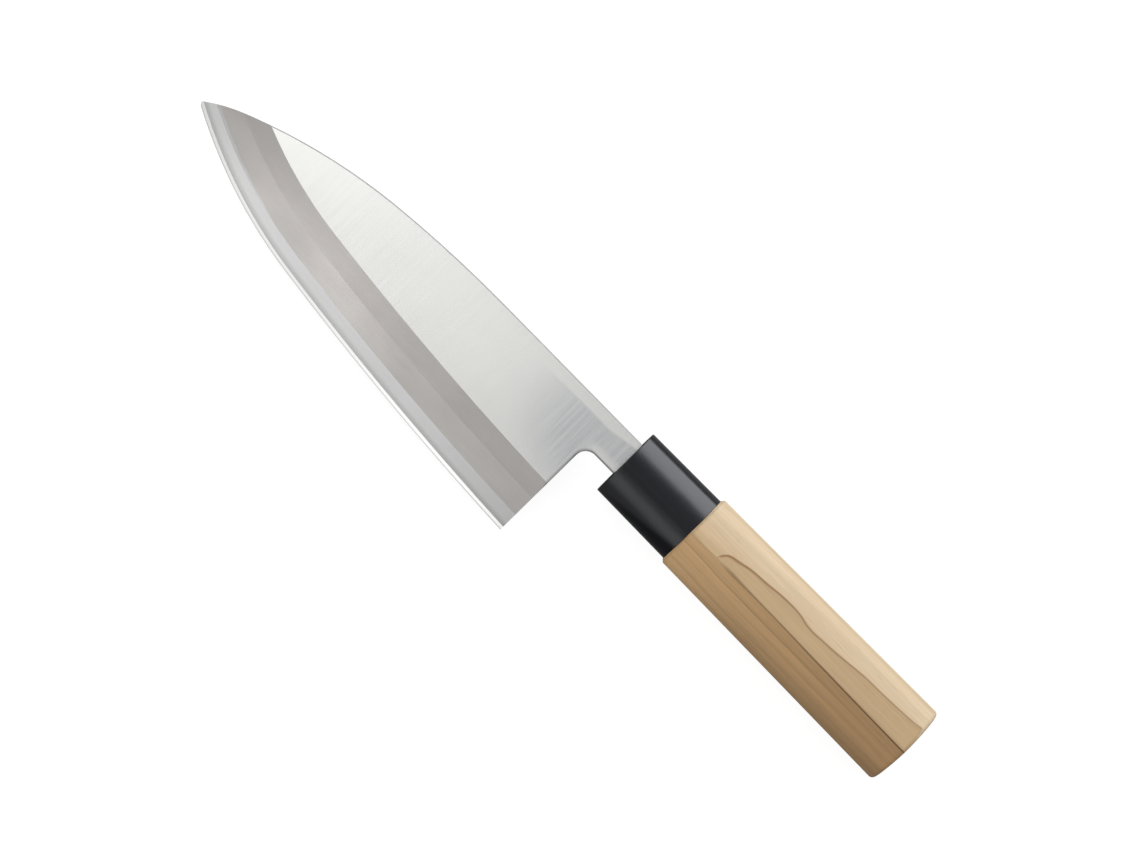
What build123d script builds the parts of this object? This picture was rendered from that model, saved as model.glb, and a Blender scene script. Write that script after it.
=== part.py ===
from build123d import *
import math
import os

# A deba knife of the traditional one-sided kind, in millimetres, lying with its bevelled face up.
# +X runs from the tip to the butt, +Y from the cutting edge to the spine, +Z out of the bevelled face.
# The origin is on the flat back, where the line of the heel crosses the centreline of the handle.

# Blade in plan
blade_length = 165.0
heel_drop = 43.8
tip_drop = 15.8
spine_rise = 7.7
neck_length = 12.5
neck_drop = 5.4
neck_radius = 4.2
neck_insert = 2.5

# Cutting edge: a nearly straight run from the heel, the belly, and a small rounding at the tip
heel_rake = 2.13
belly_start_share = 0.648
belly_rise_share = 0.315
tip_round_length = 1.35
tip_round_height = 1.5

# Spine: straight from the handle, then a fall in three arcs to the tip
spine_straight_share = 0.308
spine_middle_share = 0.590
spine_middle_fall_share = 0.1055
spine_front_share = 0.927
spine_front_fall_share = 0.708

# Blade in thickness: the flat face slopes down to the tip
heel_thickness = 4.8
tip_thickness = 2.2
spine_chamfer = 0.4
neck_round = 0.9

# Bevel ground on the upper face, with two facets and a fine third one at the edge
bevel_width_heel = 21.3
bevel_width_tip = 19.0
facet_width_heel = 14.4
facet_width_tip = 12.4
facet_crown = 0.12
edge_thickness = 0.30
edge_land = 0.08
micro_bevel_width = 1.45
bevel_stations = 16

# Hard steel on the back, thinner towards the tip, ending in the neck
steel_thickness_heel = 1.80
steel_thickness_tip = 0.87
steel_end = 8.0

# Hollow ground into the back, inside a flat rim
hollow_depth = 0.42
hollow_rim = 0.5
hollow_heel_gap = 3.0
hollow_tip_gap = 6.0
hollow_stations = 13
hollow_rim_lift_share = 0.2
hollow_end_lift_share = 1.1
hollow_lift_power = 4

# Tang inside the handle
tang_length = 78.0
tang_shoulder = 1.2
tang_root_thickness = 4.4
tang_end_height = 5.5
tang_end_thickness = 2.8
tang_end_round = 1.0

# Ferrule
ferrule_length = 30.5
ferrule_front_half_width = 12.65
ferrule_back_half_width = 12.88
ferrule_front_back_depth = 9.2
ferrule_back_back_depth = 9.4
ferrule_front_ridge_height = 9.7
ferrule_back_ridge_height = 9.9
ferrule_side_radius = 6.6
ferrule_flank_radius = 25.0
ferrule_ridge_radius = 6.0
ferrule_front_round = 0.4
ferrule_back_round = 0.15

# Wooden grip
grip_length = 98.0
grip_front_half_width = 14.05
grip_butt_half_width = 14.9
grip_front_back_depth = 10.4
grip_butt_back_depth = 11.2
grip_front_ridge_height = 10.9
grip_butt_ridge_height = 11.7
grip_side_radius = 7.4
grip_flank_radius = 500.0
grip_front_ridge_radius = 0.9
grip_front_chamfer = 0.9
butt_dome_radius = 125.0
butt_round = 1.5
butt_ridge_ease_share = 1.12
ridge_offset_front = 0.7
ridge_offset_butt = 1.4

# Tenon of the grip inside the ferrule, the seal in the mouth, and their fits
tenon_half_width = 10.2
tenon_half_depth = 7.3
tenon_clearance = 0.05
socket_clearance = 0.15
seal_clearance = 0.03
seal_thickness = 1.2
mouth_recess = 0.6

# One overrun serves every cut
overrun = 4.0

# Two points closer than this are the same
hair = 0.01

# Places along the handle
mouth_x = neck_length
neck_end_x = neck_length + neck_insert
grip_front_x = mouth_x + ferrule_length
butt_x = grip_front_x + grip_length
tang_end_x = neck_end_x + tang_length


def face_height(x):
    """Height of the flat upper face above the back, at a place along the blade."""
    return heel_thickness + (heel_thickness - tip_thickness) * x / blade_length


def steel_height(x):
    """Height of the weld between steel and iron above the back, at a place along the blade."""
    return steel_thickness_heel + (steel_thickness_heel - steel_thickness_tip) * x / blade_length


handle_height = face_height(mouth_x) / 2

# The cutting edge, from the heel to the tip
heel = Vector(0, -heel_drop)
tip = Vector(-blade_length, -tip_drop)
edge_rise = heel_drop - tip_drop
belly = Vector(-blade_length * belly_start_share, -heel_drop + edge_rise * belly_rise_share)
tip_corner = Vector(-blade_length + tip_round_length, -tip_drop - tip_round_height)
heel_tangent = Vector(-1, 0).rotate(Axis.Z, -heel_rake)
edge_run = TangentArc(heel, belly, tangent=heel_tangent)
edge_belly = TangentArc(belly, tip_corner, tangent=edge_run % 1)
edge_tip = TangentArc(tip_corner, tip, tangent=edge_belly % 1)
edge_lines = [edge_run, edge_belly, edge_tip]

# The spine, from where it starts to fall to the tip
spine_fall = spine_rise + tip_drop
spine_start = Vector(-blade_length * spine_straight_share, spine_rise)
spine_middle = Vector(
    -blade_length * spine_middle_share,
    spine_rise - spine_fall * spine_middle_fall_share,
)
spine_front = Vector(
    -blade_length * spine_front_share,
    spine_rise - spine_fall * spine_front_fall_share,
)
spine_line = Line((neck_end_x, spine_rise), spine_start)
spine_back_arc = TangentArc(spine_start, spine_middle, tangent=(-1, 0))
spine_middle_arc = TangentArc(spine_middle, spine_front, tangent=spine_back_arc % 1)
spine_tip_arc = TangentArc(spine_front, tip, tangent=spine_middle_arc % 1)
spine_lines = [spine_line, spine_back_arc, spine_middle_arc, spine_tip_arc]

# The underside of the neck and the throat that turns down into the heel
neck_line = Line((neck_end_x, -neck_drop), (neck_radius, -neck_drop))
throat_arc = JernArc(neck_line @ 1, tangent=(-1, 0), radius=neck_radius, arc_size=90)


def blade_outline():
    """Plan of the blade and its neck."""
    ends = [Line(neck_line @ 0, spine_line @ 0), Line(throat_arc @ 1, heel)]
    return make_face(edge_lines + spine_lines + [neck_line, throat_arc] + ends)


def edge_station(share):
    """Point on the line of the edge and the direction inwards, from behind the heel to past the tip."""
    guide_length = edge_run.length + edge_belly.length
    place = -overrun + share * (guide_length + 4 * overrun)
    arc, travel = (edge_run, place) if place < edge_run.length else (edge_belly, place - edge_run.length)
    turn = -math.degrees(travel / arc.radius)
    point = arc.arc_center + (arc @ 0 - arc.arc_center).rotate(Axis.Z, turn)
    tangent = (arc % 0).rotate(Axis.Z, turn)
    return point, Vector(tangent.Y, -tangent.X)


def bevel_section(share):
    """Section of what the grinding takes away, square to the edge: three facets under a block of air."""
    point, inward = edge_station(share)
    width = bevel_width_heel + (bevel_width_tip - bevel_width_heel) * share
    facet_width = facet_width_heel + (facet_width_tip - facet_width_heel) * share
    shoulder = face_height((point + inward * width).X)
    facet_height = edge_thickness + (shoulder - edge_thickness) * facet_width / width + facet_crown
    micro_height = edge_thickness + (facet_height - edge_thickness) * micro_bevel_width / facet_width
    micro_slope = (micro_height - edge_land) / micro_bevel_width
    upper_slope = (shoulder - facet_height) / (width - facet_width)
    top = heel_thickness + overrun
    corners = [
        (-overrun, edge_land - micro_slope * overrun),
        (micro_bevel_width, micro_height),
        (facet_width, facet_height),
        (width + overrun, shoulder + upper_slope * overrun),
        (width + overrun, top),
        (-overrun, top),
    ]
    return Wire.make_polygon([point + inward * across + Vector(0, 0, up) for across, up in corners])


def bevel_cutter():
    """Everything that the three facets of the bevel take off the upper face."""
    shares = [index / (bevel_stations - 1) for index in range(bevel_stations)]
    return Solid.make_loft([bevel_section(share) for share in shares])


def height_of(lines, x):
    """Where a run of lines in plan stands at a place along the blade."""
    across = Line((x, -blade_length), (x, blade_length))
    for line in lines:
        crossing = line.intersect(across)
        if crossing:
            return crossing.vertices()[0].Y
    raise ValueError("the lines don't reach this place")


def hollow_section(share):
    """Arc across the back, wide as the rim allows, that lifts out of the steel at both ends."""
    x = -hollow_heel_gap - share * (blade_length - hollow_heel_gap - hollow_tip_gap)
    low = height_of(edge_lines, x) + hollow_rim
    high = height_of(spine_lines, x) - hollow_rim
    depth = hollow_depth * math.sqrt((high - low) / (heel_drop + spine_rise))
    end_lift = hollow_end_lift_share * abs(2 * share - 1) ** hollow_lift_power
    lift = depth * (hollow_rim_lift_share + end_lift)
    left = Vector(x, low, -lift)
    right = Vector(x, high, -lift)
    arc = ThreePointArc(left, Vector(x, (low + high) / 2, depth - lift), right)
    left_foot = Vector(x, low, -lift - overrun)
    right_foot = Vector(x, high, -lift - overrun)
    return Wire([arc, Line(right, right_foot), Line(right_foot, left_foot), Line(left_foot, left)])


def hollow_cutter():
    """The shallow hollow ground into the back, inside its flat rim."""
    shares = [index / (hollow_stations - 1) for index in range(hollow_stations)]
    return Solid.make_loft([hollow_section(share) for share in shares])


def edges_over(body, lines):
    """Level edges of a solid that lie over the given lines in plan."""
    picked = []
    for edge in body.edges():
        middle = edge @ 0.5
        plan = Vector(middle.X, middle.Y)
        level = (edge % 0.5).Z ** 2 < 0.5
        if level and min(line.distance_to(plan) for line in lines) < hair:
            picked.append(edge)
    return picked


def sloped_plane(height_at):
    """Plane that follows a height which changes steadily along the blade."""
    rise = height_at(blade_length) - height_at(0)
    return Plane(origin=(0, 0, height_at(0)), x_dir=(blade_length, 0, rise), z_dir=(-rise, 0, blade_length))


def blade_body():
    """The whole blade and neck, before it is told apart into steel and iron."""
    stock = extrude(blade_outline(), amount=heel_thickness + overrun, dir=(0, 0, 1))
    body = split(stock, bisect_by=sloped_plane(face_height), keep=Keep.BOTTOM)
    body = chamfer(edges_over(body, spine_lines), spine_chamfer)
    upper_neck_edges = [edge for edge in edges_over(body, [neck_line]) if (edge @ 0.5).Z > handle_height]
    body = fillet(upper_neck_edges, neck_round)
    return body - bevel_cutter() - hollow_cutter()


def make_steel(body):
    """The hard steel: what lies below the weld, as far as the neck."""
    lower = split(body, bisect_by=sloped_plane(steel_height), keep=Keep.BOTTOM)
    return split(lower, bisect_by=Plane.YZ.offset(steel_end), keep=Keep.BOTTOM)


def block(x, low, high, bottom, top):
    """A rectangle square to the handle."""
    corners = [(x, low, bottom), (x, high, bottom), (x, high, top), (x, low, top)]
    return Wire.make_polygon([Vector(*corner) for corner in corners])


def tang(clearance):
    """The tapered tang, or with a clearance the socket that takes it."""
    root_low = -neck_drop + tang_shoulder - clearance
    root_high = spine_rise - tang_shoulder + clearance
    middle = (root_low + root_high) / 2
    root_half = tang_root_thickness / 2 + clearance
    end_half_height = tang_end_height / 2 + clearance
    end_half = tang_end_thickness / 2 + clearance
    root = block(neck_end_x, root_low, root_high, handle_height - root_half, handle_height + root_half)
    end = block(
        tang_end_x + clearance,
        middle - end_half_height,
        middle + end_half_height,
        handle_height - end_half,
        handle_height + end_half,
    )
    solid = Solid.make_loft([root, end], True)
    corners = solid.faces().sort_by(Axis.X)[-1].edges().filter_by(Axis.Z)
    return chamfer(corners, tang_end_round)


def handle_section(
    x, half_width, back_depth, ridge_height, ridge_offset, side_radius, flank_radius, ridge_radius
):
    """Section of the handle: a half oval behind, and two crowned flanks that meet in a ridge in front.

    Each flank is an arc through the ridge that touches the arc of its side.
    """
    ridge = Vector(-ridge_offset, ridge_height)
    lines = [EllipticalCenterArc((0, 0), half_width, back_depth, start_angle=180, arc_size=180)]
    for side in (1, -1):
        side_centre = Vector(side * (half_width - side_radius), 0)
        reach = ridge - side_centre
        forward = reach.normalized()
        inner_radius = flank_radius - side_radius
        along = (inner_radius**2 - flank_radius**2 + reach.length**2) / (2 * reach.length)
        aside = math.sqrt(inner_radius**2 - along**2)
        flank_centre = side_centre + forward * along + Vector(-side * forward.Y, side * forward.X) * aside
        touch_way = (side_centre - flank_centre).normalized()
        touch = side_centre + touch_way * side_radius
        side_way = (touch_way + Vector(side, 0)).normalized()
        flank_way = (touch_way + (ridge - flank_centre).normalized()).normalized()
        lines.append(ThreePointArc((side * half_width, 0), side_centre + side_way * side_radius, touch))
        lines.append(ThreePointArc(touch, flank_centre + flank_way * flank_radius, ridge))
    face = make_face(lines)
    corner = face.vertices().sort_by(Axis.Y)[-1]
    face = fillet(corner, ridge_radius)
    place = Plane(origin=(x, 0, handle_height), x_dir=(0, 1, 0), z_dir=(1, 0, 0))
    return (place * face).face().outer_wire()


def oval(x, half_width, half_depth, length):
    """A straight oval bar along the handle."""
    place = Plane(origin=(x, 0, handle_height), x_dir=(0, 1, 0), z_dir=(1, 0, 0))
    return extrude(place * Ellipse(half_width, half_depth), amount=length, dir=(1, 0, 0))


def neck_bar(clearance):
    """The end of the neck inside the handle, grown by a clearance."""
    bottom = -clearance
    top = face_height(neck_end_x) + clearance
    start = block(mouth_x - overrun, -neck_drop - clearance, spine_rise + clearance, bottom, top)
    end = block(neck_end_x + clearance, -neck_drop - clearance, spine_rise + clearance, bottom, top)
    return Solid.make_loft([start, end], True)


def make_ferrule():
    """The moulded ring, a little fuller at the back than at the mouth."""
    front = handle_section(
        mouth_x,
        ferrule_front_half_width,
        ferrule_front_back_depth,
        ferrule_front_ridge_height,
        ridge_offset_front,
        ferrule_side_radius,
        ferrule_flank_radius,
        ferrule_ridge_radius,
    )
    back = handle_section(
        grip_front_x,
        ferrule_back_half_width,
        ferrule_back_back_depth,
        ferrule_back_ridge_height,
        ridge_offset_front,
        ferrule_side_radius,
        ferrule_flank_radius,
        ferrule_ridge_radius,
    )
    ring = Solid.make_loft([front, back], True)
    front_rim = ring.faces().sort_by(Axis.X)[0].edges()
    ring = fillet(front_rim, ferrule_front_round)
    back_rim = ring.faces().sort_by(Axis.X)[-1].edges()
    ring = fillet(back_rim, ferrule_back_round)
    bore = oval(
        mouth_x - overrun,
        tenon_half_width + tenon_clearance,
        tenon_half_depth + tenon_clearance,
        ferrule_length + 2 * overrun,
    )
    return ring - bore


def make_grip():
    """The wooden grip with its tenon and the socket for the tang."""
    eased_front, front = [
        handle_section(
            grip_front_x + grip_front_chamfer - inset,
            grip_front_half_width - inset,
            grip_front_back_depth - inset,
            grip_front_ridge_height - inset,
            ridge_offset_front,
            grip_side_radius - inset,
            grip_flank_radius - inset,
            grip_front_ridge_radius,
        )
        for inset in (grip_front_chamfer, 0)
    ]
    butt = handle_section(
        butt_x,
        grip_butt_half_width,
        grip_butt_back_depth,
        grip_butt_ridge_height,
        ridge_offset_butt,
        grip_side_radius,
        grip_flank_radius,
        butt_round * butt_ridge_ease_share,
    )
    grip = Solid.make_loft([eased_front, front, butt], True)
    dome = Pos(butt_x - butt_dome_radius, 0, handle_height) * Sphere(butt_dome_radius)
    grip = (grip & dome).solids()[0]
    butt_rim = grip.faces().sort_by(Axis.X)[-1].edges()
    grip = fillet(butt_rim, butt_round)
    tenon_x = mouth_x + mouth_recess + seal_thickness
    tenon = oval(tenon_x, tenon_half_width, tenon_half_depth, grip_front_x + overrun - tenon_x)
    return grip + tenon - tang(socket_clearance) - neck_bar(socket_clearance)


def make_seal():
    """The resin that fills the mouth of the ferrule round the neck."""
    plug = oval(
        mouth_x + mouth_recess,
        tenon_half_width + tenon_clearance - seal_clearance,
        tenon_half_depth + tenon_clearance - seal_clearance,
        seal_thickness,
    )
    return plug - neck_bar(seal_clearance)


def make_parts():
    """Every piece by its name."""
    body = blade_body()
    steel = make_steel(body)
    return {
        "blade_cladding": body - steel + tang(0),
        "edge_steel": steel,
        "ferrule": make_ferrule(),
        "handle_grip": make_grip(),
        "tang_seal": make_seal(),
    }


if __name__ == "__main__":
    os.makedirs("parts", exist_ok=True)
    for name, shape in make_parts().items():
        shape.label = name
        print(name, round(shape.volume, 1), shape.is_valid, len(shape.solids()), len(shape.faces()))
        export_step(shape, os.path.join("parts", name + ".step"))
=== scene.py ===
import math

import bpy
import numpy as np
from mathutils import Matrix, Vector


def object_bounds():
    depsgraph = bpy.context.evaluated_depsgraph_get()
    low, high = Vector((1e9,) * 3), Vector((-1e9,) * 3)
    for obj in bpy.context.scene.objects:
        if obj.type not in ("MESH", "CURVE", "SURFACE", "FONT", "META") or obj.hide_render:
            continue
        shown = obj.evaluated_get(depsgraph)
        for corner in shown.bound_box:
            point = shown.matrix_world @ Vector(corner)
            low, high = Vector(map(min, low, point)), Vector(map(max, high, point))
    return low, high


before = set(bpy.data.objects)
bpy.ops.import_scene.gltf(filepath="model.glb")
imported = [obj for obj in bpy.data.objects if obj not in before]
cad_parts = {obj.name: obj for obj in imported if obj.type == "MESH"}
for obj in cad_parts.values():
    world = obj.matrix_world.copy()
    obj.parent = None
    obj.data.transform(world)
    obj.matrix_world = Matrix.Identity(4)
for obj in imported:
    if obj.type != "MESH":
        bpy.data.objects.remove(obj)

cad_low, cad_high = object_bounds()

bl_info = {
    "name": "Deba knife",
    "version": (1, 0, 0),
    "blender": (4, 5, 0),
    "location": "3D View > Sidebar > Knife",
    "description": "Finishes of a one-sided kitchen knife, and the studio that it lies in",
    "category": "Material",
}

MM = 0.001

# Plan of the cutting edge, in millimetres, as the blade is drawn
BLADE_LENGTH = 165.0
HEEL = np.array([0.0, -43.8])
TIP_DROP = 15.8
HEEL_RAKE = math.radians(2.13)
BELLY_START_SHARE = 0.648
BELLY_RISE_SHARE = 0.315
TIP_CORNER = np.array([-163.65, -17.3])
GUIDE_OVERRUN = 4.0
BEVEL_WIDTHS = (21.3, 19.0)
FACET_WIDTHS = (14.4, 12.4)
MICRO_BEVEL_WIDTH = 1.45
WELD_WIDTH = 5.9

# Handle, in millimetres
GRIP_FRONT_X = 43.0
BUTT_X = 141.0
RIDGE_FRONT = (-0.7, 13.40)
RIDGE_BUTT = (-1.4, 14.21)

# The photograph's frame: its width in millimetres, its centre in the drawing, its turn, and the height
# over the drawing at which it has that width
FRAME_WIDTH = 364.53
FRAME_CENTRE = (-7.67, -4.91)
FRAME_TURN = math.radians(45.5)
FRAME_LEVEL = 3.0

# Between these two the smooth noise nearly always lies
NOISE_REACH = (0.3, 0.7)


def colour_of(red, green, blue):
    """Linear colour of a colour written as the screen shows it, from 0 to 255."""
    shown = np.array([red, green, blue]) / 255
    linear = np.where(shown <= 0.04045, shown / 12.92, ((shown + 0.055) / 1.055) ** 2.4)
    return (*linear.tolist(), 1.0)


class Arc:
    """An arc in plan that leaves its start along a heading and passes through its end."""

    def __init__(self, start, heading, end):
        inward = np.array([heading[1], -heading[0]])
        reach = end - start
        self.start = start
        self.heading = heading
        self.radius = reach @ reach / (2 * reach @ inward)
        self.centre = start + inward * self.radius
        outward = (end - self.centre) / self.radius
        self.end_heading = np.array([outward[1], -outward[0]])
        self.length = self.radius * math.acos(float(outward @ -inward))


belly = np.array([-BLADE_LENGTH * BELLY_START_SHARE, HEEL[1] - (HEEL[1] + TIP_DROP) * BELLY_RISE_SHARE])
edge_run = Arc(HEEL, np.array([-math.cos(HEEL_RAKE), math.sin(HEEL_RAKE)]), belly)
edge_belly = Arc(belly, edge_run.end_heading, TIP_CORNER)


class Finish:
    """A procedural material being laid out. Places are in millimetres of the object's own frame."""

    def __init__(self, name):
        self.material = bpy.data.materials.new(name)
        self.material.use_nodes = True
        self.tree = self.material.node_tree
        self.tree.nodes.clear()
        output = self.node("ShaderNodeOutputMaterial")
        self.shader = self.node("ShaderNodeBsdfPrincipled")
        self.tree.links.new(self.shader.outputs["BSDF"], output.inputs["Surface"])
        coordinates = self.node("ShaderNodeTexCoord")
        scaled = self.node("ShaderNodeMapping")
        scaled.inputs["Scale"].default_value = (1 / MM, 1 / MM, 1 / MM)
        self.tree.links.new(coordinates.outputs["Object"], scaled.inputs["Vector"])
        self.place = scaled.outputs["Vector"]
        self.x, self.y, self.z = self.parts_of(self.place)
        self.normal = coordinates.outputs["Normal"]

    def node(self, kind, **settings):
        """A new node of one kind, with its settings."""
        made = self.tree.nodes.new(kind)
        for name, value in settings.items():
            setattr(made, name, value)
        return made

    def feed(self, socket, value):
        """Links a socket to another, or sets it."""
        if isinstance(value, bpy.types.NodeSocket):
            self.tree.links.new(value, socket)
        else:
            socket.default_value = value

    def parts_of(self, vector):
        """The three numbers of a vector."""
        split = self.node("ShaderNodeSeparateXYZ")
        self.feed(split.inputs["Vector"], vector)
        return split.outputs["X"], split.outputs["Y"], split.outputs["Z"]

    def calc(self, operation, *values):
        """One step of arithmetic."""
        made = self.node("ShaderNodeMath", operation=operation)
        for socket, value in zip(made.inputs, values):
            self.feed(socket, value)
        return made.outputs["Value"]

    def product(self, first, *others):
        """Numbers multiplied."""
        for other in others:
            first = self.calc("MULTIPLY", first, other)
        return first

    def away_from(self, point):
        """The vector to the place from a point in plan."""
        made = self.node("ShaderNodeVectorMath", operation="SUBTRACT")
        self.feed(made.inputs[0], self.place)
        self.feed(made.inputs[1], (float(point[0]), float(point[1]), 0.0))
        return made.outputs["Vector"]

    def dot(self, vector, direction):
        """How far a vector reaches along a direction, given in plan or in space."""
        made = self.node("ShaderNodeVectorMath", operation="DOT_PRODUCT")
        self.feed(made.inputs[0], vector)
        self.feed(made.inputs[1], tuple(float(number) for number in (*direction, 0.0))[:3])
        return made.outputs["Value"]

    def rise(self, value, low, high):
        """0 below low, 1 above high, smooth between."""
        made = self.node("ShaderNodeMapRange", interpolation_type="SMOOTHSTEP")
        for name, number in zip(("Value", "From Min", "From Max"), (value, low, high)):
            self.feed(made.inputs[name], number)
        return made.outputs["Result"]

    def step(self, value, half):
        """0 below zero and 1 above it, smooth over half a width to either side."""
        return self.rise(value, -half, half)

    def fall(self, value, low, high):
        """1 below low, 0 above high, smooth between."""
        return self.calc("SUBTRACT", 1.0, self.rise(value, low, high))

    def span(self, value, low, high, first, last):
        """A straight change from first at low to last at high."""
        made = self.node("ShaderNodeMapRange")
        names = ("Value", "From Min", "From Max", "To Min", "To Max")
        for name, number in zip(names, (value, low, high, first, last)):
            self.feed(made.inputs[name], number)
        return made.outputs["Result"]

    def sway(self, noise, first, last):
        """A straight change from first to last over what a noise nearly always reaches."""
        return self.span(noise, *NOISE_REACH, first, last)

    def blend(self, factor, first, last):
        """Two numbers mixed."""
        made = self.node("ShaderNodeMix", data_type="FLOAT")
        self.feed(made.inputs["Factor"], factor)
        self.feed(made.inputs[2], first)
        self.feed(made.inputs[3], last)
        return made.outputs[0]

    def mix(self, factor, first, last):
        """Two colours mixed."""
        made = self.node("ShaderNodeMix", data_type="RGBA")
        self.feed(made.inputs["Factor"], factor)
        self.feed(made.inputs[6], first)
        self.feed(made.inputs[7], last)
        return made.outputs[2]

    def shade(self, colour, amount):
        """A colour made lighter or darker by a factor."""
        made = self.node("ShaderNodeVectorMath", operation="SCALE")
        self.feed(made.inputs[0], colour if isinstance(colour, bpy.types.NodeSocket) else colour[:3])
        self.feed(made.inputs["Scale"], amount)
        return made.outputs["Vector"]

    def grain(self, per_mm, detail=2.0, roughness=0.5, shift=0.0):
        """Smooth noise, from 0 to 1, with so many waves to the millimetre along each axis."""
        stretched = self.node("ShaderNodeMapping")
        self.feed(stretched.inputs["Vector"], self.place)
        self.feed(stretched.inputs["Location"], (shift, shift, shift))
        self.feed(stretched.inputs["Scale"], per_mm)
        made = self.node("ShaderNodeTexNoise")
        self.feed(made.inputs["Vector"], stretched.outputs["Vector"])
        self.feed(made.inputs["Scale"], 1.0)
        self.feed(made.inputs["Detail"], detail)
        self.feed(made.inputs["Roughness"], roughness)
        return made.outputs["Fac"]

    def relief(self, height, depth):
        """Bump of a height from 0 to 1 over a depth in millimetres."""
        made = self.node("ShaderNodeBump")
        self.feed(made.inputs["Height"], height)
        self.feed(made.inputs["Distance"], depth * MM)
        self.feed(self.shader.inputs["Normal"], made.outputs["Normal"])

    def curve(self, value, points):
        """A smooth curve through points, both from 0 to 1."""
        made = self.node("ShaderNodeFloatCurve")
        line = made.mapping.curves[0]
        line.points[0].location = points[0]
        line.points[1].location = points[-1]
        for point in points[1:-1]:
            line.points.new(*point)
        made.mapping.update()
        self.feed(made.inputs["Value"], value)
        return made.outputs["Value"]

    def wear_on(self, piece):
        """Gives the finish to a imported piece."""
        for held in piece.material_slots:
            held.material = self.material


def edge_distance(finish):
    """Distance in plan from the cutting edge inwards, and the share of the way along it.

    Each arc of the edge has its centre on the spine's side, so the distance is the arc's radius less the
    distance from that centre. The way along it is the radius times the angle turned about the centre.
    """
    found = []
    for arc, start_length in ((edge_run, 0.0), (edge_belly, edge_run.length)):
        spoke = finish.away_from(arc.centre)
        out = finish.dot(spoke, (arc.start - arc.centre) / arc.radius)
        along = finish.dot(spoke, arc.heading)
        square = finish.calc("ADD", finish.product(out, out), finish.product(along, along))
        distance = finish.calc("SUBTRACT", float(arc.radius), finish.calc("SQRT", square))
        angle = finish.calc("ARCTAN2", along, out)
        way = finish.calc("MULTIPLY_ADD", angle, float(arc.radius), start_length)
        found.append((distance, way))
    past_belly = finish.calc("GREATER_THAN", finish.dot(finish.away_from(belly), edge_belly.heading), 0.0)
    distance, way = [finish.blend(past_belly, first, last) for first, last in zip(*found)]
    guide = edge_run.length + edge_belly.length
    share = finish.span(way, -GUIDE_OVERRUN, guide + 3 * GUIDE_OVERRUN, 0.0, 1.0)
    return distance, share


class BladeSettings(bpy.types.PropertyGroup):
    """Colours and grinding of the blade."""

    flat_colour: bpy.props.FloatVectorProperty(
        name="Flat",
        description="Colour of the flat of the blade",
        default=colour_of(250, 250, 247)[:3],
        subtype="COLOR",
        size=3,
        min=0.0,
        max=1.0,
    )
    upper_bevel_colour: bpy.props.FloatVectorProperty(
        name="Upper bevel",
        description="Colour of the bevel next to the flat",
        default=colour_of(222, 217, 213)[:3],
        subtype="COLOR",
        size=3,
        min=0.0,
        max=1.0,
    )
    lower_bevel_colour: bpy.props.FloatVectorProperty(
        name="Lower bevel",
        description="Colour of the bevel next to the hard steel",
        default=colour_of(229, 224, 220)[:3],
        subtype="COLOR",
        size=3,
        min=0.0,
        max=1.0,
    )
    steel_colour: bpy.props.FloatVectorProperty(
        name="Hard steel",
        description="Colour of the hard steel along the edge",
        default=colour_of(240, 239, 239)[:3],
        subtype="COLOR",
        size=3,
        min=0.0,
        max=1.0,
    )
    mark_depth: bpy.props.FloatProperty(
        name="Mark depth",
        description="Depth of the grinding marks, in millimetres",
        default=0.0012,
        min=0.0,
        max=0.01,
        precision=4,
    )


class HandleSettings(bpy.types.PropertyGroup):
    """Colours of the wood, the ferrule and the seal."""

    wood_light: bpy.props.FloatVectorProperty(
        name="Pale wood",
        description="Colour of the pale part of a growth ring",
        default=colour_of(227, 204, 171)[:3],
        subtype="COLOR",
        size=3,
        min=0.0,
        max=1.0,
    )
    wood_dark: bpy.props.FloatVectorProperty(
        name="Dark wood",
        description="Colour of the dark part of a growth ring",
        default=colour_of(201, 171, 131)[:3],
        subtype="COLOR",
        size=3,
        min=0.0,
        max=1.0,
    )
    ring_line: bpy.props.FloatVectorProperty(
        name="Ring line",
        description="Colour of the thin line between two growth rings",
        default=colour_of(146, 109, 66)[:3],
        subtype="COLOR",
        size=3,
        min=0.0,
        max=1.0,
    )
    ring_spacing: bpy.props.FloatProperty(
        name="Ring spacing",
        description="Distance from one growth ring to the next, in millimetres",
        default=2.7,
        min=0.5,
        max=10.0,
    )
    ferrule_colour: bpy.props.FloatVectorProperty(
        name="Ferrule",
        description="Colour of the moulded ferrule",
        default=(0.0033, 0.0036, 0.0056),
        subtype="COLOR",
        size=3,
        min=0.0,
        max=1.0,
    )
    seal_colour: bpy.props.FloatVectorProperty(
        name="Seal",
        description="Colour of the resin in the mouth of the handle",
        default=colour_of(58, 48, 40)[:3],
        subtype="COLOR",
        size=3,
        min=0.0,
        max=1.0,
    )


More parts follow.
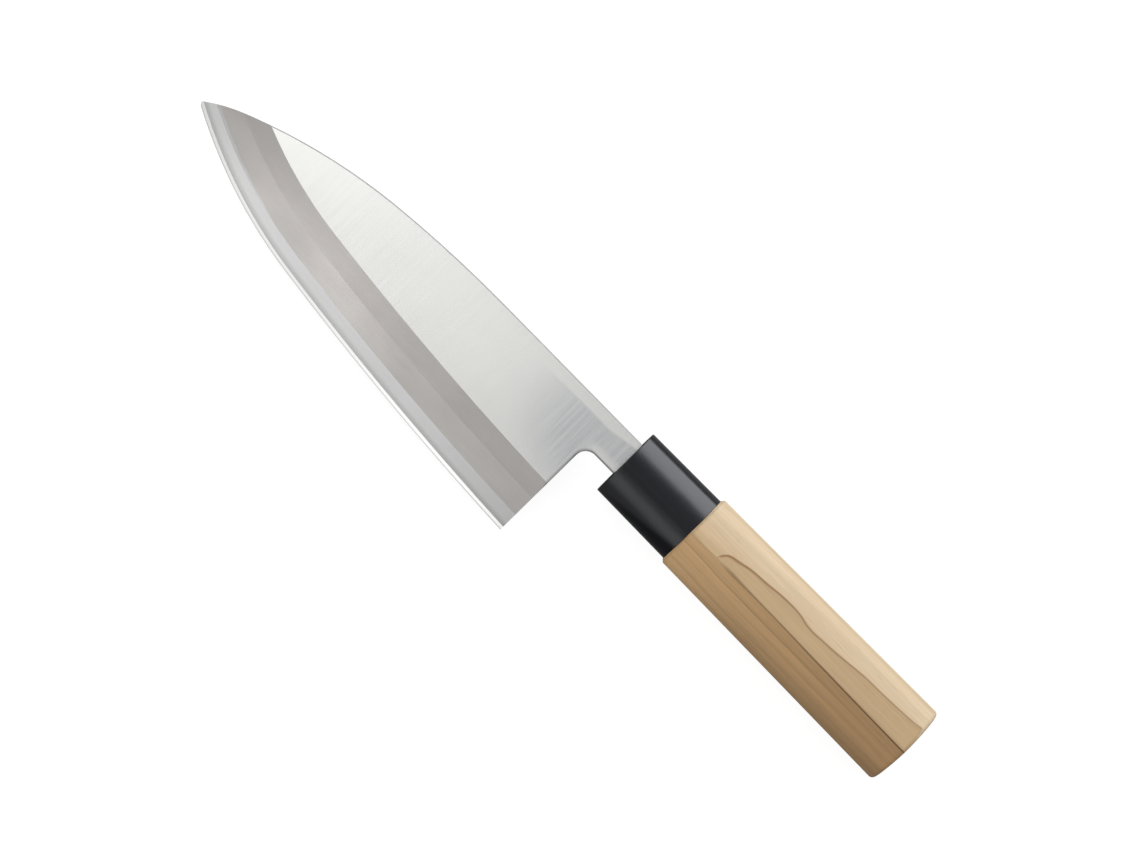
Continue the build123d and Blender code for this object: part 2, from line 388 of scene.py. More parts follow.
class StudioSettings(bpy.types.PropertyGroup):
    """Lamps, floor and camera."""

    side_light: bpy.props.FloatProperty(
        name="Side light",
        description="Brightness of the large softbox beside the spine",
        default=4.35,
        min=0.0,
    )
    gloss_light: bpy.props.FloatProperty(
        name="Gloss light",
        description="Brightness of the tall softbox that only the ferrule mirrors",
        default=4.45,
        min=0.0,
    )
    top_light: bpy.props.FloatProperty(
        name="Top light",
        description="Brightness of the softbox above the tip",
        default=1.7,
        min=0.0,
    )
    edge_light: bpy.props.FloatProperty(
        name="Edge light",
        description="Brightness of the softbox beside the cutting edge",
        default=1.12,
        min=0.0,
    )
    handle_light: bpy.props.FloatProperty(
        name="Handle light",
        description="Brightness of the softbox low beside the handle, on the edge's side",
        default=1.08,
        min=0.0,
    )
    bevel_light: bpy.props.FloatProperty(
        name="Bevel light",
        description="Brightness of the small softbox that the bevel mirrors",
        default=1.36,
        min=0.0,
    )
    surround: bpy.props.FloatProperty(
        name="Surround",
        description="Brightness of the room that the metal reflects",
        default=0.53,
        min=0.0,
    )
    ambient: bpy.props.FloatProperty(
        name="Ambient",
        description="Brightness of the room that lights matt surfaces",
        default=0.38,
        min=0.0,
    )
    lens: bpy.props.FloatProperty(
        name="Lens",
        description="Focal length of the camera, in millimetres",
        default=150.0,
        min=20.0,
        unit="CAMERA",
    )


# How bright the metal is along the edge, partly the haze of its honing and partly painted reflection that
# gives each place the brightness of the lamps' reflection: share of the way from the heel to the tip, and
# brightness, on the lower band of the bevel, on the upper one, and on the strip of hard steel
LOWER_HAZE_AND_SHEEN_POINTS = (
    (0.0, 1.0),
    (0.17, 0.935),
    (0.28, 0.803),
    (0.40, 0.713),
    (0.52, 0.746),
    (0.65, 0.635),
    (0.8, 0.679),
    (1.0, 0.71),
)
UPPER_HAZE_AND_SHEEN_POINTS = (
    (0.0, 0.94),
    (0.17, 0.805),
    (0.28, 0.71),
    (0.40, 0.68),
    (0.5, 0.73),
    (0.65, 0.79),
    (0.8, 0.77),
    (1.0, 0.70),
)
STRIP_HAZE_AND_SHEEN_POINTS = (
    (0.0, 0.94),
    (0.17, 1.0),
    (0.28, 0.935),
    (0.40, 0.79),
    (0.65, 0.675),
    (0.8, 0.78),
    (1.0, 0.93),
)
# Painted shade: the palest metal is darkened towards the tip, where the lamps' reflection is brightest, so
# that it doesn't clip: how dark it grows, between which places on the flat, and between which shares of the
# way along the edge
TIP_PAINTED_SHADE = 0.855
FLAT_PAINTED_SHADE_REACH = (-118.0, -45.0)
GLINT_PAINTED_SHADE_REACH = (0.12, 0.5)
# Half the width of the borders of the finishes, in millimetres, and how far the weld wanders
SHOULDER_HALF = 0.06
FACET_HALF = 0.2
WELD_HALF = 0.1
WELD_WANDER = 0.9
# Roughness of the iron on the bevel and on the flat, and of the steel on the back and on the bevel
IRON_ROUGHNESS = (0.233, 0.271)
STEEL_ROUGHNESS = (0.27, 0.234)
# How much of the painted highlight and shade on the rims shows, and how deep the marks across the flat are
# beside those along it
RIM_LIGHT_STRENGTH = 0.7
CROSS_MARK_SHARE = 0.4
# Distances from the cutting edge at which the fine bevel, the thin line of painted shade along its lip, and
# the foot of the strip end
FINE_BEVEL_BORDER = (MICRO_BEVEL_WIDTH - 0.26, MICRO_BEVEL_WIDTH - 0.06)
EDGE_LINE_SHADE_BORDER = (0.3, 0.5)
STRIP_FOOT_BORDER = (1.4, 3.6)

# The patch ground at the neck: its middle, its reach, the shares of it over which it fades, and the line
# that cuts it off above
PATCH_MIDDLE = (4.0, -3.0)
PATCH_REACH = (36.0, 25.0)
PATCH_FADE = (0.25, 1.05)
PATCH_TOP = 3.6
PATCH_TOP_HALF = 0.7
PATCH_TOP_CLIMB = 0.17
PATCH_CLIMB_FROM = 2.0
# Low on the neck only so much of it is left
NECK_FADE_X = (-2.0, 4.0)
NECK_FADE_DOWN = (1.0, 4.5)
NECK_SHARE = 0.1

PATCH_COLOUR = colour_of(219, 221, 222)
# Painted highlight on rims that face the spine, painted shade on rims that face the other way
SPINE_RIM_HIGHLIGHT_COLOUR = colour_of(252, 252, 251)
LOWER_RIM_SHADE_COLOUR = colour_of(150, 150, 149)
STRIP_FOOT_COLOUR = colour_of(211, 211, 211)
GLINT_COLOUR = colour_of(252, 252, 250)
# Painted shade: a thin grey line along the cutting edge
EDGE_LINE_SHADE_COLOUR = colour_of(208, 208, 207)


def ground_patch(finish):
    """How strongly a place lies in the darker patch ground at the neck, below the strip along the spine.

    An oval round the neck, cut off above by a line that climbs towards the handle, and faint low on the
    neck.
    """
    across = finish.calc("DIVIDE", finish.calc("SUBTRACT", finish.x, PATCH_MIDDLE[0]), PATCH_REACH[0])
    up = finish.calc("DIVIDE", finish.calc("SUBTRACT", finish.y, PATCH_MIDDLE[1]), PATCH_REACH[1])
    square = finish.calc("ADD", finish.product(across, across), finish.product(up, up))
    oval = finish.fall(finish.calc("SQRT", square), *PATCH_FADE)
    climbed = finish.calc("MAXIMUM", finish.calc("SUBTRACT", finish.x, PATCH_CLIMB_FROM), 0.0)
    border = finish.calc("MULTIPLY_ADD", climbed, PATCH_TOP_CLIMB, PATCH_TOP)
    below = finish.fall(finish.calc("SUBTRACT", finish.y, border), -PATCH_TOP_HALF, PATCH_TOP_HALF)
    down = finish.product(finish.y, -1.0)
    low_neck = finish.product(finish.rise(finish.x, *NECK_FADE_X), finish.rise(down, *NECK_FADE_DOWN))
    return finish.product(oval, below, finish.span(low_neck, 0.0, 1.0, 1.0, NECK_SHARE))


class KNIFE_OT_cladding(bpy.types.Operator):
    """Finishes the soft iron: a satin flat, and a bevel honed in two bands along the edge."""

    bl_idname = "knife.cladding"
    bl_label = "Soft iron"

    def execute(self, context):
        looks = context.scene.knife_blade
        finish = Finish("ground_iron")
        distance, share = edge_distance(finish)
        shoulder = finish.span(share, 0.0, 1.0, *BEVEL_WIDTHS)
        facet = finish.span(share, 0.0, 1.0, *FACET_WIDTHS)
        on_flat = finish.step(finish.calc("SUBTRACT", distance, shoulder), SHOULDER_HALF)
        on_upper = finish.step(finish.calc("SUBTRACT", distance, facet), FACET_HALF)
        cross_marks = finish.grain((1.1, 0.04, 0.04), detail=2.0, roughness=0.5)
        long_marks = finish.grain((0.045, 2.6, 2.6), detail=4.0, roughness=0.65, shift=7.0)
        cloud = finish.grain((0.03, 0.05, 0.05), detail=2.0, shift=3.0)
        haze = finish.grain((0.05, 0.09, 0.09), detail=3.0, roughness=0.55, shift=21.0)
        weld_noise = finish.grain((0.25, 0.25, 0.25), detail=3.0, shift=31.0)

        flat = finish.shade(looks.flat_colour[:], finish.sway(cloud, 0.98, 1.02))
        # Painted shade: the flat darkens towards the tip
        flat = finish.shade(flat, finish.span(finish.x, *FLAT_PAINTED_SHADE_REACH, TIP_PAINTED_SHADE, 1.0))
        flat = finish.shade(flat, finish.sway(cross_marks, 0.982, 1.018))
        patch_tone = finish.span(cross_marks, 0.35, 0.65, 0.72, 1.08)
        flat = finish.mix(finish.product(ground_patch(finish), patch_tone), flat, PATCH_COLOUR)

        weld = finish.calc("MULTIPLY_ADD", weld_noise, WELD_WANDER, WELD_WIDTH - 0.25)
        lower = finish.mix(
            finish.step(finish.calc("SUBTRACT", distance, weld), WELD_HALF),
            (*looks.steel_colour, 1.0),
            (*looks.lower_bevel_colour, 1.0),
        )
        # Brightness along the edge: partly haze, partly painted reflection
        lower = finish.shade(lower, finish.curve(share, LOWER_HAZE_AND_SHEEN_POINTS))
        upper = finish.shade(looks.upper_bevel_colour[:], finish.curve(share, UPPER_HAZE_AND_SHEEN_POINTS))
        bevel = finish.mix(on_upper, lower, upper)
        bevel = finish.shade(bevel, finish.sway(haze, 0.95, 1.05))
        bevel = finish.shade(bevel, finish.sway(long_marks, 0.975, 1.025))

        # Painted highlight and shade on the rims, chosen by which way the surface faces
        sideways = finish.parts_of(finish.normal)[1]
        rim_light_mask = finish.product(finish.rise(finish.calc("ABSOLUTE", sideways), 0.3, 0.6), RIM_LIGHT_STRENGTH)
        rim_light_and_shade_colour = finish.mix(finish.rise(sideways, 0.0, 0.3), LOWER_RIM_SHADE_COLOUR, SPINE_RIM_HIGHLIGHT_COLOUR)
        colour = finish.mix(on_flat, bevel, flat)
        colour = finish.mix(rim_light_mask, colour, rim_light_and_shade_colour)
        finish.feed(finish.shader.inputs["Base Color"], colour)
        finish.shader.inputs["Metallic"].default_value = 1.0
        finish.feed(finish.shader.inputs["Roughness"], finish.span(on_flat, 0.0, 1.0, *IRON_ROUGHNESS))
        marks = finish.blend(on_flat, long_marks, finish.product(cross_marks, CROSS_MARK_SHARE))
        finish.relief(marks, looks.mark_depth)
        finish.wear_on(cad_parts["blade_cladding"])
        return {"FINISHED"}


class KNIFE_OT_edge_steel(bpy.types.Operator):
    """Finishes the hard steel: a bright honed strip whose brightness along the edge is partly painted
    reflection, a fine bright bevel darkened towards the tip as painted shade, a thin grey line of painted
    shade along the edge, and the hollow-ground back.
    """

    bl_idname = "knife.edge_steel"
    bl_label = "Hard steel"

    def execute(self, context):
        looks = context.scene.knife_blade
        finish = Finish("honed_steel")
        distance, share = edge_distance(finish)
        on_top = finish.rise(finish.parts_of(finish.normal)[2], 0.2, 0.5)
        fine_bevel = finish.fall(distance, *FINE_BEVEL_BORDER)
        # Painted shade: a thin grey line along the cutting edge
        edge_line_shade = finish.fall(distance, *EDGE_LINE_SHADE_BORDER)
        past_foot = finish.rise(distance, *STRIP_FOOT_BORDER)
        long_marks = finish.grain((0.05, 3.2, 3.2), detail=3.0, roughness=0.6)
        cross_marks = finish.grain((2.2, 0.06, 0.06), detail=4.0, roughness=0.65, shift=5.0)

        strip = finish.mix(past_foot, STRIP_FOOT_COLOUR, (*looks.steel_colour, 1.0))
        strip = finish.shade(strip, finish.sway(long_marks, 0.985, 1.015))
        # Brightness along the edge: partly haze, partly painted reflection
        strip = finish.shade(strip, finish.curve(share, STRIP_HAZE_AND_SHEEN_POINTS))
        # Painted shade: the fine bevel's glint darkens towards the tip
        glint = finish.shade(GLINT_COLOUR, finish.span(share, *GLINT_PAINTED_SHADE_REACH, 1.0, TIP_PAINTED_SHADE))
        strip = finish.mix(fine_bevel, strip, glint)
        strip = finish.mix(edge_line_shade, strip, EDGE_LINE_SHADE_COLOUR)
        back = finish.shade((*looks.steel_colour, 1.0), finish.sway(cross_marks, 0.86, 1.0))
        finish.feed(finish.shader.inputs["Base Color"], finish.mix(on_top, back, strip))
        finish.shader.inputs["Metallic"].default_value = 1.0
        finish.feed(finish.shader.inputs["Roughness"], finish.span(on_top, 0.0, 1.0, *STEEL_ROUGHNESS))
        finish.relief(finish.blend(on_top, cross_marks, long_marks), looks.mark_depth)
        finish.wear_on(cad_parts["edge_steel"])
        return {"FINISHED"}


# How strongly the ferrule mirrors where it is glossy and where it is dulled as painted shade
FERRULE_GLOSS = (0.5, 0.16)
# Distances below its middle at which the dulled part, which is painted shade, begins and is full, at a place
# near the front. With each millimetre behind that place they are smaller by the climb.
DULL_REACH = (10.3, 12.3)
DULL_FRONT_X = 16.0
DULL_CLIMB = 0.125


class KNIFE_OT_ferrule(bpy.types.Operator):
    """Finishes the ferrule in glossy black plastic with a faint moulded ripple, duller on its lower side as
    painted shade.
    """

    bl_idname = "knife.ferrule"
    bl_label = "Ferrule"

    def execute(self, context):
        looks = context.scene.knife_handle
        finish = Finish("moulded_black")
        finish.shader.inputs["Base Color"].default_value = (*looks.ferrule_colour, 1.0)
        finish.shader.inputs["Specular Tint"].default_value = (0.93, 0.95, 1.0, 1.0)
        speckle = finish.grain((0.5, 0.7, 0.7), detail=3.0, roughness=0.6)
        finish.feed(finish.shader.inputs["Roughness"], finish.sway(speckle, 0.22, 0.25))
        # Painted shade: the lower side mirrors less
        climb = finish.calc("MULTIPLY_ADD", finish.x, DULL_CLIMB, -DULL_CLIMB * DULL_FRONT_X)
        dull_painted_shade = finish.rise(finish.calc("SUBTRACT", climb, finish.y), *DULL_REACH)
        finish.feed(finish.shader.inputs["Specular IOR Level"], finish.span(dull_painted_shade, 0.0, 1.0, *FERRULE_GLOSS))
        ripple = finish.grain((0.08, 0.16, 0.16), detail=1.0)
        finish.relief(ripple, 0.05)
        finish.wear_on(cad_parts["ferrule"])
        return {"FINISHED"}


# Height of the main growth ring on the upper flank: share of the grip's length, and distance from the ridge
RING_POINTS = (
    (0.00, -5.0),
    (0.07, -3.0),
    (0.11, -0.4),
    (0.13, 1.8),
    (0.15, 2.9),
    (0.185, 3.5),
    (0.235, 4.5),
    (0.295, 5.1),
    (0.38, 6.1),
    (0.43, 6.2),
    (0.50, 5.2),
    (0.55, 5.6),
    (0.65, 6.6),
    (0.74, 7.7),
    (0.82, 8.2),
    (0.90, 9.1),
    (1.00, 10.6),
)
# Height over the ridge of the ring's other side, which runs down to the ridge and then along it
FOLD_POINTS = (
    (0.0, 1.5),
    (0.11, 1.2),
    (0.15, 0.4),
    (0.24, 0.3),
    (0.42, 0.3),
    (0.6, 0.1),
    (1.0, 0.0),
)
# The ranges of the two curves, because the node of a curve only holds numbers from 0 to 1
RING_REACH = (-5.0, 12.0)
FOLD_REACH = 2.0
RING_TILT = math.radians(19.5)
FLANK_SLOPE = math.radians(22.1)
RING_WANDER = 0.05
# Thickness of the line between two rings, as a share of their distance, at the front and further back
LINE_SHARES = (0.015, 0.011)
# How strongly the main ring's line shows at the front and at the butt, and how strongly all others do
MAIN_RING = (0.95, 0.6)
OTHER_RINGS = 0.36
# How strongly the line of the fold shows, at the front and at the butt; along the ridge it is partly painted
# shade
FOLD_LINE_AND_RIDGE_SHADE = (0.5, 0.9)
# The next ring down crosses the lower flank so far below the ridge, under a slightly darker band
SECOND_RING_DROP = 3.55
SECOND_RING_WANDER = 1.6
SECOND_RING = (0.3, 0.08)
BAND_BORDER = (-3.7, -3.3)
BAND_SHADE = 0.96
# Painted shade: how far down the lower flank darkens towards its edge, and to what
LOW_PAINTED_SHADE_REACH = (6.0, 14.0)
LOW_PAINTED_SHADE = 0.70
# Half the width of the border of the warm wood, which is partly painted shade, inside the block, and what
# each millimetre of depth adds to it
BORDER_HALF = 0.3
BORDER_WIDENING = 0.9

# The warm wood below the ridge: partly heartwood, partly painted shade on the flank that faces away from the
# side lamp
HEARTWOOD_AND_SHADE_FRONT_COLOUR = colour_of(231, 189, 138)
HEARTWOOD_AND_SHADE_BUTT_COLOUR = colour_of(202, 161, 113)
# Colour of the ring lines below the ridge, and of the line under the ridge that is partly painted shade
DEEP_LINE_AND_RIDGE_SHADE_COLOUR = colour_of(118, 86, 52)
WOOD_CLOUD_COLOUR = colour_of(206, 176, 134)
PORE_COLOUR = colour_of(160, 124, 84)


def outside_main_ring(finish, way, wander):
    """How far a place lies outside the main growth ring, in millimetres, square to the rings."""
    outward = (0.0, math.sin(RING_TILT), math.cos(RING_TILT))
    ridge_front, ridge_butt = [y * outward[1] + z * outward[2] for y, z in (RIDGE_FRONT, RIDGE_BUTT)]
    ridge = finish.span(way, 0.0, 1.0, ridge_front, ridge_butt)
    low, high = RING_REACH
    points = [(share, (reach - low) / (high - low)) for share, reach in RING_POINTS]
    reach = finish.span(finish.curve(way, points), 0.0, 1.0, low, high)
    slant = math.tan(FLANK_SLOPE) * outward[2] - outward[1]
    over_ridge = finish.calc("SUBTRACT", finish.dot(finish.place, outward), ridge)
    ring = finish.calc("ADD", over_ridge, finish.product(reach, slant))
    return finish.calc("MULTIPLY_ADD", finish.calc("SUBTRACT", wander, 0.5), RING_WANDER, ring)


def heartwood_and_shade_share(finish, over_ridge, on_front):
    """How far a place is in the warm wood below the ridge, partly heartwood and partly painted shade,
    sharply on the flanks and softly inside.
    """
    under_ridge = finish.calc("MAXIMUM", finish.calc("SUBTRACT", RIDGE_FRONT[1] - 1.0, finish.z), 0.0)
    softness = finish.calc("MULTIPLY_ADD", under_ridge, BORDER_WIDENING, BORDER_HALF)
    over_border = finish.calc("DIVIDE", finish.calc("MULTIPLY_ADD", on_front, 0.2, over_ridge), softness)
    block = finish.fall(over_border, -1.0, 1.0)
    flank = finish.fall(over_ridge, -0.5, 0.1)
    return finish.blend(on_front, block, flank)


def heartwood_and_shade_colour(finish, way, over_ridge, wander):
    """Colour of the warm wood below the ridge, partly heartwood and partly painted shade: darker towards the
    butt and, with more painted shade, low down, with the next ring's line in it.
    """
    colour = finish.mix(way, HEARTWOOD_AND_SHADE_FRONT_COLOUR, HEARTWOOD_AND_SHADE_BUTT_COLOUR)
    band = finish.product(finish.rise(over_ridge, *BAND_BORDER), finish.rise(way, 0.0, 0.5))
    colour = finish.shade(colour, finish.span(band, 0.0, 1.0, 1.0, BAND_SHADE))
    ring = finish.calc("MULTIPLY_ADD", finish.calc("SUBTRACT", wander, 0.5), SECOND_RING_WANDER, over_ridge)
    beside = finish.calc("ABSOLUTE", finish.calc("ADD", ring, SECOND_RING_DROP))
    line = finish.product(finish.fall(beside, 0.05, 0.35), finish.span(way, 0.3, 1.0, *SECOND_RING))
    colour = finish.mix(line, colour, DEEP_LINE_AND_RIDGE_SHADE_COLOUR)
    # Painted shade: the lower flank darkens towards its edge
    low_painted_shade = finish.rise(finish.product(finish.y, -1.0), *LOW_PAINTED_SHADE_REACH)
    low_painted_shade = finish.product(low_painted_shade, finish.rise(way, 0.0, 0.4))
    return finish.shade(colour, finish.span(low_painted_shade, 0.0, 1.0, 1.0, LOW_PAINTED_SHADE))


def ring_line_strength(finish, way, ring, turn, over_fold):
    """How strongly the thin line between two rings shows: clearly at the main ring, faintly elsewhere."""
    thin = finish.span(way, 0.15, 0.5, *LINE_SHARES)
    line_out = finish.fall(finish.calc("DIVIDE", turn, thin), 0.0, 1.0)
    line = finish.calc("MAXIMUM", line_out, finish.rise(turn, 0.99, 1.0))
    main_ring = finish.fall(finish.calc("ABSOLUTE", ring), 0.4, 0.8)
    main_strength = finish.span(way, 0.15, 1.0, *MAIN_RING)
    shown = finish.product(main_ring, main_strength, finish.rise(over_fold, -0.4, 0.3))
    return finish.product(line, finish.calc("MAXIMUM", shown, OTHER_RINGS))


def fold_line_and_ridge_shade_strength(finish, way, over_fold, on_front):
    """How strongly the line shows that closes the main ring, down to the ridge and along it, where it is
    partly painted shade under the ridge.
    """
    beside = finish.calc("ABSOLUTE", finish.calc("ADD", over_fold, 0.3))
    beside = finish.product(beside, finish.span(way, 0.2, 0.34, 0.45, 1.0))
    line = finish.product(finish.fall(beside, 0.12, 0.42), on_front, finish.rise(way, 0.12, 0.2))
    return finish.product(line, finish.span(way, 0.2, 0.9, *FOLD_LINE_AND_RIDGE_SHADE))


class KNIFE_OT_grip(bpy.types.Operator):
    """Finishes the grip in oiled magnolia wood, with growth rings cut through the whole block.

    The rings lie square to a direction tilted from the ridge towards the spine, so they cross the upper
    flank at a slant and the lower flank steeply. A curve along the grip lifts and lowers them, so that one
    ring's line wanders along the upper flank. At the front it folds back, comes down to the ridge and
    follows it as a second line, which along the ridge is partly painted shade. Below the ridge lies the
    warmer heartwood, darkened partly as painted shade on the flank that faces away from the side lamp, and
    the upper flank is paler towards the spine partly as painted light.
    """

    bl_idname = "knife.grip"
    bl_label = "Grip"

    def execute(self, context):
        looks = context.scene.knife_handle
        finish = Finish("magnolia")
        way = finish.span(finish.x, GRIP_FRONT_X, BUTT_X, 0.0, 1.0)
        wander = finish.grain((0.03, 0.12, 0.12), detail=2.0, shift=11.0)
        fibre = finish.grain((0.05, 1.7, 1.7), detail=4.0, roughness=0.6)
        streak = finish.grain((0.012, 0.45, 0.45), detail=3.0, roughness=0.55, shift=4.0)
        cloud = finish.grain((0.03, 0.08, 0.08), detail=2.0, shift=9.0)
        ring = outside_main_ring(finish, way, wander)
        turn = finish.calc("FRACT", finish.calc("DIVIDE", ring, looks.ring_spacing))
        ridge_line = finish.span(way, 0.0, 1.0, RIDGE_FRONT[0], RIDGE_BUTT[0])
        over_ridge = finish.calc("SUBTRACT", finish.y, ridge_line)
        fold_points = [(share, height / FOLD_REACH) for share, height in FOLD_POINTS]
        fold_height = finish.product(finish.curve(way, fold_points), FOLD_REACH)
        over_fold = finish.calc("SUBTRACT", over_ridge, fold_height)
        facing = finish.parts_of(finish.normal)
        on_front = finish.rise(facing[2], 0.3, 0.6)
        end_grain = finish.rise(finish.calc("ABSOLUTE", facing[0]), 0.5, 0.9)

        inside = finish.product(
            finish.step(ring, 0.012),
            finish.step(over_fold, 0.2),
            finish.span(on_front, 0.0, 1.0, 0.6, 1.0),
        )
        # Paler towards the spine: partly sapwood, partly painted light on the flank that faces the side lamp
        sapwood_and_light = finish.product(finish.rise(finish.y, -3.0, 11.0), finish.calc("SUBTRACT", 1.0, inside))
        colour = finish.mix(sapwood_and_light, (*looks.wood_dark, 1.0), (*looks.wood_light, 1.0))
        # The warm wood below the ridge: partly heartwood, partly painted shade
        heartwood_and_shade = heartwood_and_shade_colour(finish, way, over_ridge, wander)
        colour = finish.mix(heartwood_and_shade_share(finish, over_ridge, on_front), colour, heartwood_and_shade)
        colour = finish.shade(colour, finish.span(end_grain, 0.0, 1.0, 1.0, 0.9))
        colour = finish.shade(colour, finish.span(finish.fall(turn, 0.05, 0.40), 0.0, 1.0, 1.03, 0.95))
        colour = finish.shade(colour, finish.sway(fibre, 0.93, 1.07))
        colour = finish.shade(colour, finish.sway(streak, 0.92, 1.07))
        colour = finish.mix(finish.span(cloud, 0.45, 0.75, 0.0, 0.17), colour, WOOD_CLOUD_COLOUR)
        ring_line = ring_line_strength(finish, way, ring, turn, over_fold)
        colour = finish.mix(ring_line, colour, (*looks.ring_line, 1.0))
        # The fold's line: a ring line, and under the ridge partly painted shade
        fold_line_and_ridge_shade = fold_line_and_ridge_shade_strength(finish, way, over_fold, on_front)
        colour = finish.mix(fold_line_and_ridge_shade, colour, DEEP_LINE_AND_RIDGE_SHADE_COLOUR)
        pores = finish.rise(finish.grain((0.14, 3.6, 3.6), detail=1.0, shift=2.0), 0.66, 0.76)
        colour = finish.mix(finish.product(pores, 0.3), colour, PORE_COLOUR)
        finish.feed(finish.shader.inputs["Base Color"], colour)
        finish.feed(finish.shader.inputs["Roughness"], finish.sway(fibre, 0.52, 0.64))
        finish.shader.inputs["Specular IOR Level"].default_value = 0.35
        finish.relief(finish.calc("SUBTRACT", fibre, finish.product(pores, 0.6)), 0.02)
        finish.wear_on(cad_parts["handle_grip"])
        return {"FINISHED"}


class KNIFE_OT_seal(bpy.types.Operator):
    """Finishes the resin that closes the mouth of the handle."""

    bl_idname = "knife.seal"
    bl_label = "Seal"

    def execute(self, context):
        looks = context.scene.knife_handle
        finish = Finish("poured_resin")
        cloud = finish.grain((0.5, 0.5, 0.5), detail=3.0)
        colour = finish.shade((*looks.seal_colour, 1.0), finish.sway(cloud, 0.8, 1.2))
        finish.feed(finish.shader.inputs["Base Color"], colour)
        finish.feed(finish.shader.inputs["Roughness"], finish.sway(cloud, 0.4, 0.55))
        finish.relief(cloud, 0.05)
        finish.wear_on(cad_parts["tang_seal"])
        return {"FINISHED"}


BLADE = ("blade_cladding", "edge_steel")
MIDDLE = (FRAME_CENTRE[0] * MM, FRAME_CENTRE[1] * MM, 0.0)
# The softboxes, in metres: name, place, aim, width, height, and what a card keeps each of them off.
# How bright each is, the studio's setting of the same name says.
LAMPS = (
    ("side_light", (0.0, 1.12, 0.49), MIDDLE, 1.3, 0.62, (*BLADE, "ferrule")),
    ("gloss_light", (0.03, 1.14, 0.44), (0.03, 0.0, 0.0), 1.3, 0.85, (*BLADE, "handle_grip", "floor")),
    ("top_light", (-0.73, 0.26, 1.46), MIDDLE, 0.47, 1.19, ()),
    ("bevel_light", (-0.36, -0.57, 1.50), MIDDLE, 0.31, 0.34, ()),
    ("edge_light", (-0.63, -0.95, 1.07), (-0.22, 0.08, 0.0), 1.25, 0.49, ("blade_cladding",)),
    ("handle_light", (0.33, -1.19, 0.89), (0.33, 0.0, 0.0), 0.9, 0.46, BLADE),
)
FLOOR_HALF = 4.0
# How much light the floor throws back, to the camera and to the pieces, and how far it glows for the camera
FLOOR_SEEN = 0.30
FLOOR_TONE = 0.55
FLOOR_GLOW = 0.88


def softbox(name, place, aim, width, height, brightness, screened):
    """A rectangular lamp that shines on one point. Its power is its brightness times pi times its area.

    The objects that are screened stand in the shade of a card: the lamp neither lights them nor shows in
    them.
    """
    lamp = bpy.data.lights.new(name, "AREA")
    lamp.shape = "RECTANGLE"
    lamp.size = width
    lamp.size_y = height
    lamp.energy = brightness * math.pi * width * height
    held = bpy.data.objects.new(name, lamp)
    held.location = place
    held.rotation_mode = "QUATERNION"
    held.rotation_quaternion = (Vector(aim) - Vector(place)).to_track_quat("-Z", "Y")
    held.visible_camera = False
    bpy.context.scene.collection.objects.link(held)
    if screened:
        card = bpy.data.collections.new(name + "_card")
        for each in screened:
            card.objects.link(each)
        held.light_linking.receiver_collection = card
        for lit in card.collection_objects:
            lit.light_linking.link_state = "EXCLUDE"


def room(surround, ambient):
    """The world: white to the camera, one level for reflections and another for matt surfaces."""
    world = bpy.data.worlds.new("room")
    bpy.context.scene.world = world
    world.use_nodes = True
    tree = world.node_tree
    tree.nodes.clear()
    output = tree.nodes.new("ShaderNodeOutputWorld")
    ray = tree.nodes.new("ShaderNodeLightPath")
    glow = tree.nodes.new("ShaderNodeBackground")
    tree.links.new(glow.outputs["Background"], output.inputs["Surface"])
    glossy = tree.nodes.new("ShaderNodeMix")
    glossy.inputs[2].default_value = ambient
    glossy.inputs[3].default_value = surround
    tree.links.new(ray.outputs["Is Glossy Ray"], glossy.inputs["Factor"])
    seen = tree.nodes.new("ShaderNodeMix")
    seen.inputs[3].default_value = 1.0
    tree.links.new(glossy.outputs[0], seen.inputs[2])
    tree.links.new(ray.outputs["Is Camera Ray"], seen.inputs["Factor"])
    tree.links.new(seen.outputs[0], glow.inputs["Strength"])


def paper_floor(low):
    """A plain white floor under the knife, that glows for the camera and keeps a soft shadow."""
    mesh = bpy.data.meshes.new("floor")
    corners = [(x * FLOOR_HALF, y * FLOOR_HALF, low) for x, y in ((-1, -1), (1, -1), (1, 1), (-1, 1))]
    mesh.from_pydata(corners, [], [(0, 1, 2, 3)])
    floor = bpy.data.objects.new("floor", mesh)
    bpy.context.scene.collection.objects.link(floor)
    material = bpy.data.materials.new("white_paper")
    material.use_nodes = True
    tree = material.node_tree
    shader = tree.nodes["Principled BSDF"]
    shader.inputs["Roughness"].default_value = 0.9
    shader.inputs["Specular IOR Level"].default_value = 0.0
    ray = tree.nodes.new("ShaderNodeLightPath")
    shade = tree.nodes.new("ShaderNodeMix")
    shade.data_type = "RGBA"
    shade.inputs[6].default_value = (FLOOR_TONE, FLOOR_TONE, FLOOR_TONE, 1.0)
    shade.inputs[7].default_value = (FLOOR_SEEN, FLOOR_SEEN, FLOOR_SEEN, 1.0)
    tree.links.new(ray.outputs["Is Camera Ray"], shade.inputs["Factor"])
    tree.links.new(shade.outputs[2], shader.inputs["Base Color"])
    glow = tree.nodes.new("ShaderNodeMath")
    glow.operation = "MULTIPLY"
    glow.inputs[1].default_value = FLOOR_GLOW
    tree.links.new(ray.outputs["Is Camera Ray"], glow.inputs[0])
    shader.inputs["Emission Color"].default_value = (1.0, 1.0, 1.0, 1.0)
    tree.links.new(glow.outputs["Value"], shader.inputs["Emission Strength"])
    mesh.materials.append(material)
    return floor


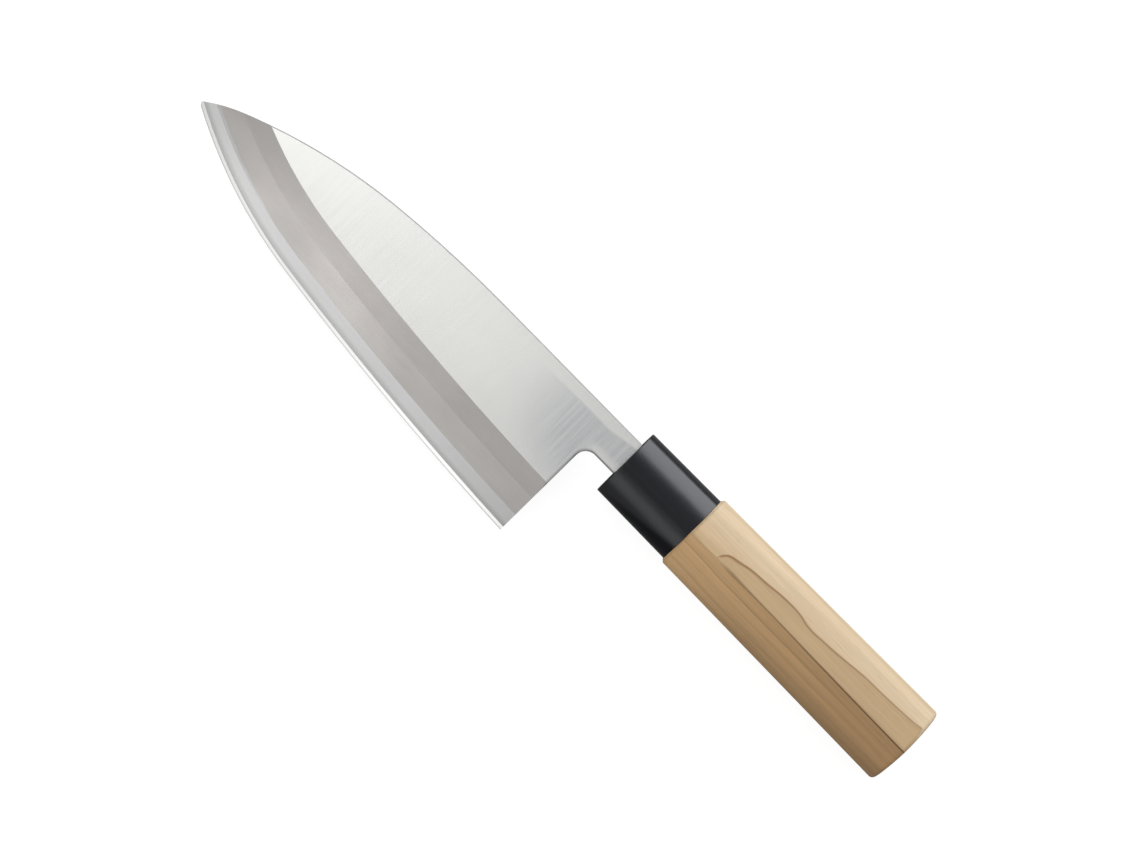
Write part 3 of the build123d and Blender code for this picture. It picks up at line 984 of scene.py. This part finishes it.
class KNIFE_OT_stage(bpy.types.Operator):
    """Lays the white floor, hangs the softboxes and sets the camera square over the blade."""

    bl_idname = "knife.stage"
    bl_label = "Studio"

    def execute(self, context):
        looks = context.scene.knife_studio
        things = dict(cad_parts, floor=paper_floor(cad_low.z))
        for name, place, aim, width, height, kept_off in LAMPS:
            screened = [things[each] for each in kept_off]
            softbox(name, place, aim, width, height, getattr(looks, name), screened)
        room(looks.surround, looks.ambient)
        camera = bpy.data.cameras.new("camera")
        camera.lens = looks.lens
        held = bpy.data.objects.new("camera", camera)
        height = looks.lens / camera.sensor_width * FRAME_WIDTH + FRAME_LEVEL
        held.location = (MIDDLE[0], MIDDLE[1], height * MM)
        held.rotation_euler = (0.0, 0.0, FRAME_TURN)
        bpy.context.scene.collection.objects.link(held)
        bpy.context.scene.camera = held
        bpy.context.scene.view_settings.view_transform = "Standard"
        return {"FINISHED"}


class KNIFE_PT_panel(bpy.types.Panel):
    """Sizes and colours of the knife's finishes, and what lays them out."""

    bl_label = "Deba knife"
    bl_idname = "KNIFE_PT_panel"
    bl_space_type = "VIEW_3D"
    bl_region_type = "UI"
    bl_category = "Knife"

    def draw(self, context):
        for settings in (context.scene.knife_blade, context.scene.knife_handle, context.scene.knife_studio):
            box = self.layout.box()
            for name in settings.__annotations__:
                box.prop(settings, name)
        for operator in OPERATORS:
            self.layout.operator(operator.bl_idname)


OPERATORS = (
    KNIFE_OT_cladding,
    KNIFE_OT_edge_steel,
    KNIFE_OT_ferrule,
    KNIFE_OT_grip,
    KNIFE_OT_seal,
    KNIFE_OT_stage,
)
CLASSES = (BladeSettings, HandleSettings, StudioSettings, *OPERATORS, KNIFE_PT_panel)


def register():
    """Adds the settings, the operators and the panel."""
    for each in CLASSES:
        bpy.utils.register_class(each)
    bpy.types.Scene.knife_blade = bpy.props.PointerProperty(type=BladeSettings)
    bpy.types.Scene.knife_handle = bpy.props.PointerProperty(type=HandleSettings)
    bpy.types.Scene.knife_studio = bpy.props.PointerProperty(type=StudioSettings)


def unregister():
    """Takes them away again."""
    del bpy.types.Scene.knife_studio
    del bpy.types.Scene.knife_handle
    del bpy.types.Scene.knife_blade
    for each in reversed(CLASSES):
        bpy.utils.unregister_class(each)


def main():
    """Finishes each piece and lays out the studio."""
    register()
    for operator in OPERATORS:
        group, name = operator.bl_idname.split(".")
        getattr(getattr(bpy.ops, group), name)()


if __name__ == "__main__":
    main()
